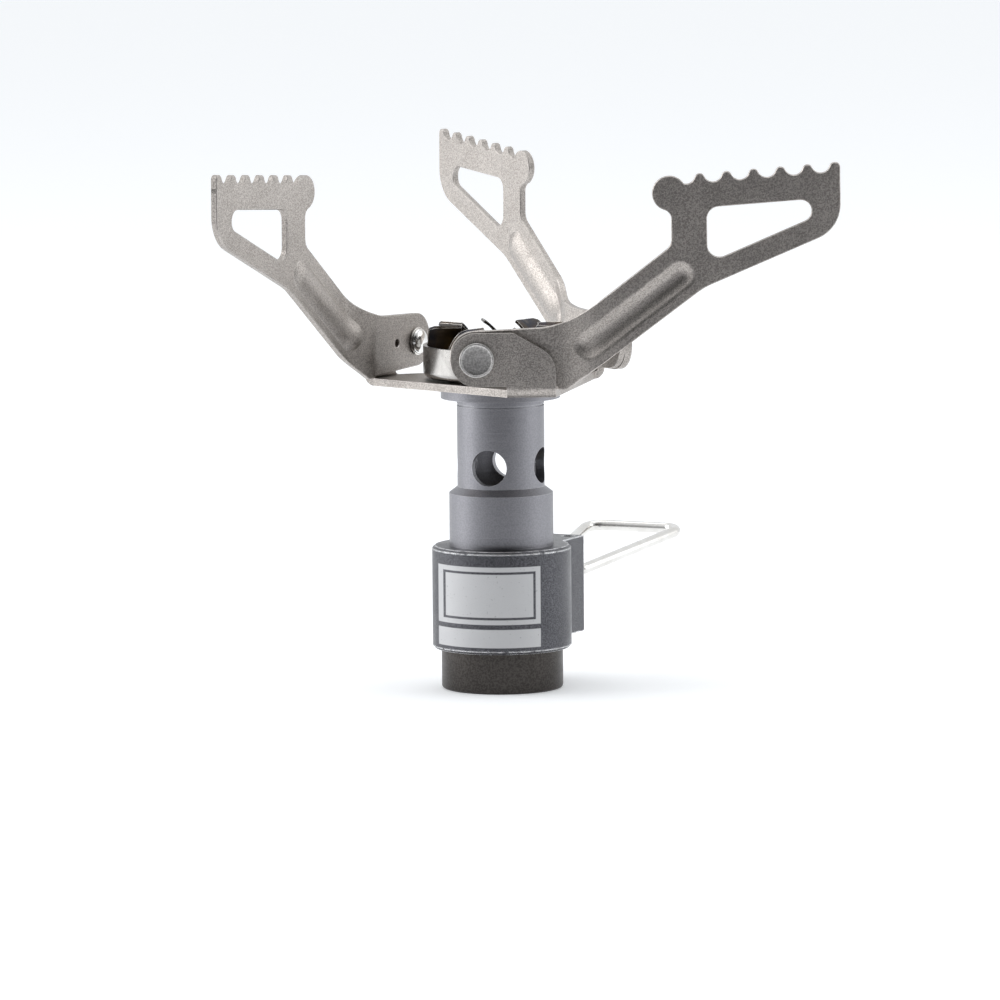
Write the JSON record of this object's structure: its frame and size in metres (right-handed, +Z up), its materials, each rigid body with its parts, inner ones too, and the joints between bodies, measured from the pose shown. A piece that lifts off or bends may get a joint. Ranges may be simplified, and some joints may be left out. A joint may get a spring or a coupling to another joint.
{
  "type": "camping stove",
  "caption": "Folding canister-top gas stove: three toothed pot supports on a bent bracket, burner cup, gas tube with air holes, valve body and wire valve handle.",
  "frame": {"origin": "centre of the mouth of the canister thread, at the collar's lower face", "axes": "+Z up along the gas tube, +X along the front pot support, -Y the side on which that support stands"},
  "size_m": [0.077, 0.0732, 0.0668],
  "materials": {
    "collar_alloy": "dark brown-grey anodised, turned",
    "blasted_alloy": "dark grey, sand blasted, worn edges",
    "grey_alloy": "mid grey anodised, fine turning lines",
    "titanium": "bead-blasted titanium, warm grey",
    "rivet_steel": "formed heads, bright rim",
    "bright_steel": "polished stainless steel",
    "tinted_steel": "dark heat-tinted stainless sheet",
    "brass": "turned brass",
    "sintered_brass": "sintered, matt",
    "seal_rubber": "black nitrile, satin"
  },
  "bodies": {
    "stove_body": {"canister_collar": "collar_alloy", "inlet_o_ring": "seal_rubber", "valve_probe": "brass", "inlet_filter": "sintered_brass", "valve_body": "blasted_alloy", "gland_lock_pin": "bright_steel", "gland_nut": "collar_alloy", "gas_jet": "brass", "mixing_tube": "grey_alloy", "support_bracket": "titanium", "pivot_rivets": "rivet_steel", "rivet_washers": "bright_steel", "burner_spacer": "tinted_steel", "burner_cup": "bright_steel", "burner_nut": "brass", "flame_spreader": "tinted_steel"},
    "front_arm": {"pot_support_front": "titanium"},
    "back_arm": {"pot_support_back": "titanium"},
    "left_arm": {"pot_support_left": "titanium"},
    "spindle_seal": {"spindle_o_ring": "seal_rubber"},
    "spindle": {"needle_spindle": "bright_steel"},
    "handle": {"wire_handle": "bright_steel"}
  },
  "joints": [
    {"name": "front_arm_fold", "type": "hinge", "parent": "stove_body", "child": "front_arm", "pos_m": [-0.0029, -0.0142, 0.0427], "axis": [0, -1, 0], "range_deg": [0, 240]},
    {"name": "back_arm_fold", "type": "hinge", "parent": "stove_body", "child": "back_arm", "pos_m": [0.01375, 0.00459, 0.0427], "axis": [0.866, 0.5, 0], "range_deg": [0, 240]},
    {"name": "left_arm_fold", "type": "hinge", "parent": "stove_body", "child": "left_arm", "pos_m": [-0.01085, 0.00961, 0.0427], "axis": [-0.866, 0.5, 0], "range_deg": [0, 240]},
    {"name": "spindle_travel", "type": "slide", "parent": "stove_body", "child": "spindle_seal", "axis": [0.4226, 0.9063, 0], "range_m": [0, 0.00112]},
    {"name": "valve_turn", "type": "hinge", "parent": "spindle_seal", "child": "spindle", "pos_m": [0, 0, 0.0128], "axis": [0.4226, 0.9063, 0], "range_deg": [0, 811]},
    {"name": "handle_fold", "type": "hinge", "parent": "spindle", "child": "handle", "pos_m": [0.00744, 0.01595, 0.0128], "axis": [0.9063, -0.4226, 0], "range_deg": [-97, 83]}
  ],
  "couplings": [
    {"joint": "back_arm_fold", "follows": "front_arm_fold", "ratio": 1},
    {"joint": "left_arm_fold", "follows": "front_arm_fold", "ratio": 1},
    {"joint": "valve_turn", "follows": "spindle_travel", "rad_per_m": 12566}
  ]
}
